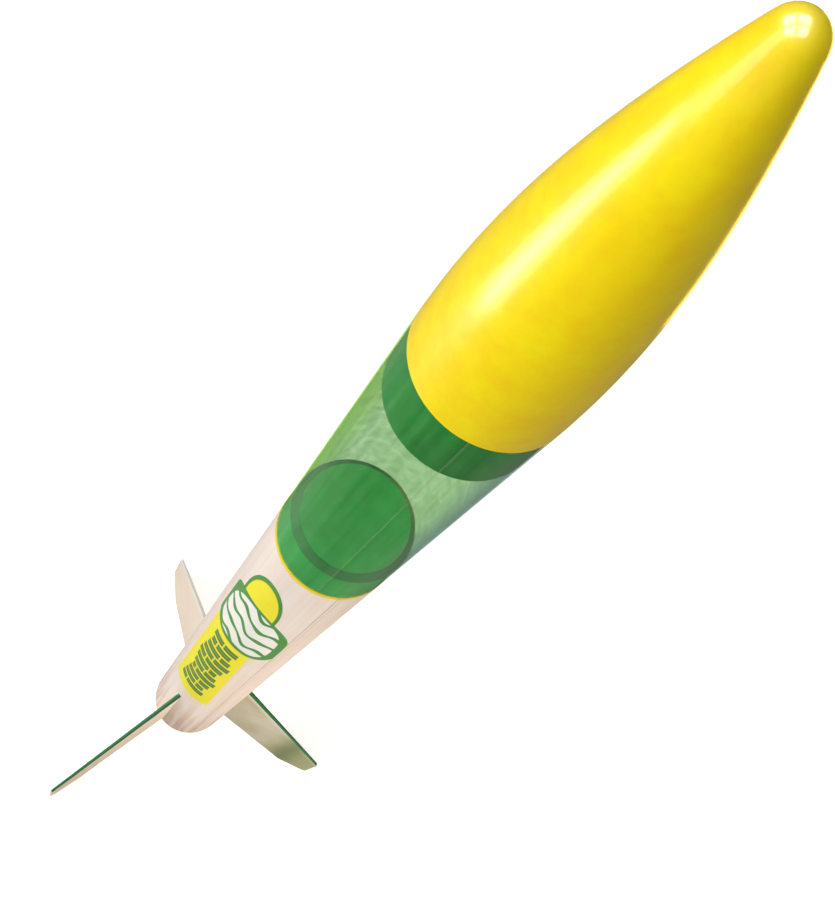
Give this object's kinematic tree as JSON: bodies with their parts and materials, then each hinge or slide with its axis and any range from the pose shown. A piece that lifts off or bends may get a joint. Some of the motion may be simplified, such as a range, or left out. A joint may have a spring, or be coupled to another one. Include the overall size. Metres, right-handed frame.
{
  "type": "model rocket",
  "caption": "Payload model rocket: hollow nose, clear bay tube, plug adapter and white finned booster with motor, retainer, launch lugs and packed parachute.",
  "frame": {"origin": "centre of the body tube's tail end, on the rocket's axis", "axes": "+Z along the axis towards the nose; -Y along the front fin"},
  "size_m": [0.2116, 0.1832, 0.7895],
  "materials": {
    "yellow_plastic": "glossy moulded plastic",
    "green_plastic": "glossy moulded plastic",
    "clear_plastic": "clear, faintly green sheet tube",
    "plywood": "bare birch plywood",
    "steel": "zinc-plated",
    "white_tube": "glossy white printed wrap on spiral-wound card",
    "white_fin": "sealed balsa, gloss cream-white with green leading edges",
    "white_lug": "white paper tube",
    "kraft_tube": "brown kraft paper",
    "ring_board": "cut fibreboard",
    "anchor_paper": "folded card soaked in white glue",
    "wadding": "crumpled flame-resistant tissue",
    "chute_film": "thin folded plastic film",
    "black_plastic": "satin moulded plastic",
    "motor_paper": "tightly wound brown paper",
    "clay": "rammed dry clay",
    "propellant": "pressed black powder",
    "yellow_decal": "glossy printed sticker",
    "green_decal": "glossy printed sticker"
  },
  "bodies": {
    "root": {"body_tube": "white_tube", "fin_front": "white_fin", "fin_right": "white_fin", "fin_left": "white_fin", "launch_lug_aft": "white_lug", "launch_lug_fore": "white_lug", "motor_tube": "kraft_tube", "aft_centering_ring": "ring_board", "fore_centering_ring": "ring_board", "thrust_ring": "ring_board", "cord_mount": "anchor_paper", "recovery_wadding": "wadding", "parachute_pack": "chute_film", "retainer_sleeve": "black_plastic", "panel_decal": "yellow_decal", "band_decal": "green_decal", "tab_decal": "yellow_decal"},
    "payload": {"payload_tube": "clear_plastic", "adapter_cup": "green_plastic", "adapter_collar": "yellow_plastic", "coupler_bulkhead": "plywood", "screw_eye": "steel", "eye_washer": "steel", "eye_nut": "steel"},
    "nose": {"nose_cone": "yellow_plastic", "nose_shoulder": "green_plastic"},
    "motor": {"motor_casing": "motor_paper", "clay_nozzle": "clay", "propellant_grain": "propellant", "delay_charge": "propellant", "ejection_charge": "propellant", "clay_cap": "clay"},
    "cap": {"retainer_cap": "black_plastic"}
  },
  "joints": [
    {"name": "payload_slide", "type": "slide", "parent": "root", "child": "payload", "axis": [0, 0, 1], "range_m": [0, 0.12]},
    {"name": "nose_slide", "type": "slide", "parent": "payload", "child": "nose", "axis": [0, 0, 1], "range_m": [0, 0.12]},
    {"name": "motor_slide", "type": "slide", "parent": "root", "child": "motor", "axis": [0, 0, -1], "range_m": [0, 0.09]},
    {"name": "cap_spin", "type": "hinge", "parent": "motor", "child": "cap", "pos_m": [0, 0, 0], "axis": [0, 0, 1], "continuous": true}
  ]
}
